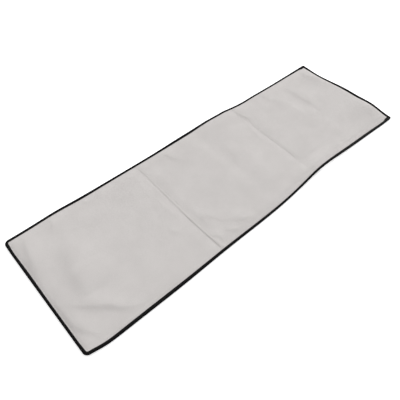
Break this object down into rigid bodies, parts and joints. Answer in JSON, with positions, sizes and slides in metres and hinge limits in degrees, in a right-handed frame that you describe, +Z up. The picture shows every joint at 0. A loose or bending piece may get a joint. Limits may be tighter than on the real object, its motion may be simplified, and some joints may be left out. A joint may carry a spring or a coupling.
{
  "type": "folding solar blanket",
  "caption": "Open canvas solar blanket: padded panels with cells on the underside, joined by sewn folds that bend flat into a stack, and bound along every edge with black tape.",
  "frame": {"origin": "middle of the open blanket, on the surface it lies on", "axes": "+X along the blanket towards the end with the outlet, +Y across it, +Z up; the cells face down and the plain back faces up"},
  "size_m": [1.809, 0.56, 0.009],
  "materials": {
    "canvas": "plain-woven polyester canvas, warm light grey, matt",
    "binding_tape": "black woven binding tape",
    "clear_film": "clear embossed film",
    "tinned_ribbon": "tinned copper ribbon",
    "silicon_cell": "blue-black monocrystalline silicon",
    "white_backsheet": "white laminate film",
    "flat_lead": "flat copper conductor",
    "stiffener": "fibre-reinforced plastic board",
    "foam": "closed-cell foam",
    "black_plastic": "moulded black plastic",
    "gasket_rubber": "soft black rubber",
    "steel_screw": "plated steel",
    "brass_terminal": "plain brass"
  },
  "bodies": {
    "middle_panel": {"middle_back_cover": "canvas", "middle_front_cover": "canvas", "middle_near_binding": "binding_tape", "middle_far_binding": "binding_tape", "middle_clear_front_sheet": "clear_film", "middle_cell_ribbons": "tinned_ribbon", "middle_solar_cells": "silicon_cell", "middle_laminate_backsheet": "white_backsheet", "middle_panel_leads": "flat_lead", "middle_stiffener_board": "stiffener", "middle_foam_pad": "foam"},
    "left_fold_web": {"left_fold_web_back": "canvas", "left_fold_web_front": "canvas", "left_fold_binding": "binding_tape", "left_fold_jumpers": "flat_lead"},
    "left_panel": {"left_back_cover": "canvas", "left_front_cover": "canvas", "left_near_binding": "binding_tape", "left_far_binding": "binding_tape", "left_end_binding": "binding_tape", "left_clear_front_sheet": "clear_film", "left_cell_ribbons": "tinned_ribbon", "left_solar_cells": "silicon_cell", "left_laminate_backsheet": "white_backsheet", "left_panel_leads": "flat_lead", "left_stiffener_board": "stiffener", "left_foam_pad": "foam"},
    "right_fold_web": {"right_fold_web_back": "canvas", "right_fold_web_front": "canvas", "right_fold_binding": "binding_tape", "right_fold_jumpers": "flat_lead"},
    "right_panel": {"right_back_cover": "canvas", "right_front_cover": "canvas", "right_near_binding": "binding_tape", "right_far_binding": "binding_tape", "right_end_binding": "binding_tape", "right_clear_front_sheet": "clear_film", "right_cell_ribbons": "tinned_ribbon", "right_solar_cells": "silicon_cell", "right_laminate_backsheet": "white_backsheet", "right_panel_leads": "flat_lead", "right_stiffener_board": "stiffener", "right_foam_pad": "foam", "junction_box_base": "black_plastic", "junction_box_lid": "black_plastic", "junction_box_gasket": "gasket_rubber", "junction_box_screws": "steel_screw", "output_terminals": "brass_terminal", "bypass_diodes": "black_plastic", "cable_gland": "gasket_rubber"}
  },
  "joints": [
    {"name": "left_fold", "type": "hinge", "parent": "middle_panel", "child": "left_panel", "pos_m": [-0.3015, 0, 0.0095], "axis": [0, 1, 0], "range_deg": [-10, 180]},
    {"name": "left_fold_web_turn", "type": "hinge", "parent": "middle_panel", "child": "left_fold_web", "pos_m": [-0.2965, 0, 0.0045], "axis": [0, 1, 0], "range_deg": [-5, 90]},
    {"name": "right_fold", "type": "hinge", "parent": "middle_panel", "child": "right_panel", "pos_m": [0.3015, 0, -0.0005], "axis": [0, 1, 0], "range_deg": [-10, 180]},
    {"name": "right_fold_web_turn", "type": "hinge", "parent": "middle_panel", "child": "right_fold_web", "pos_m": [0.2965, 0, 0.0045], "axis": [0, 1, 0], "range_deg": [-5, 90]}
  ],
  "couplings": [
    {"joint": "left_fold_web_turn", "follows": "left_fold", "ratio": 0.5},
    {"joint": "right_fold_web_turn", "follows": "right_fold", "ratio": 0.5}
  ]
}
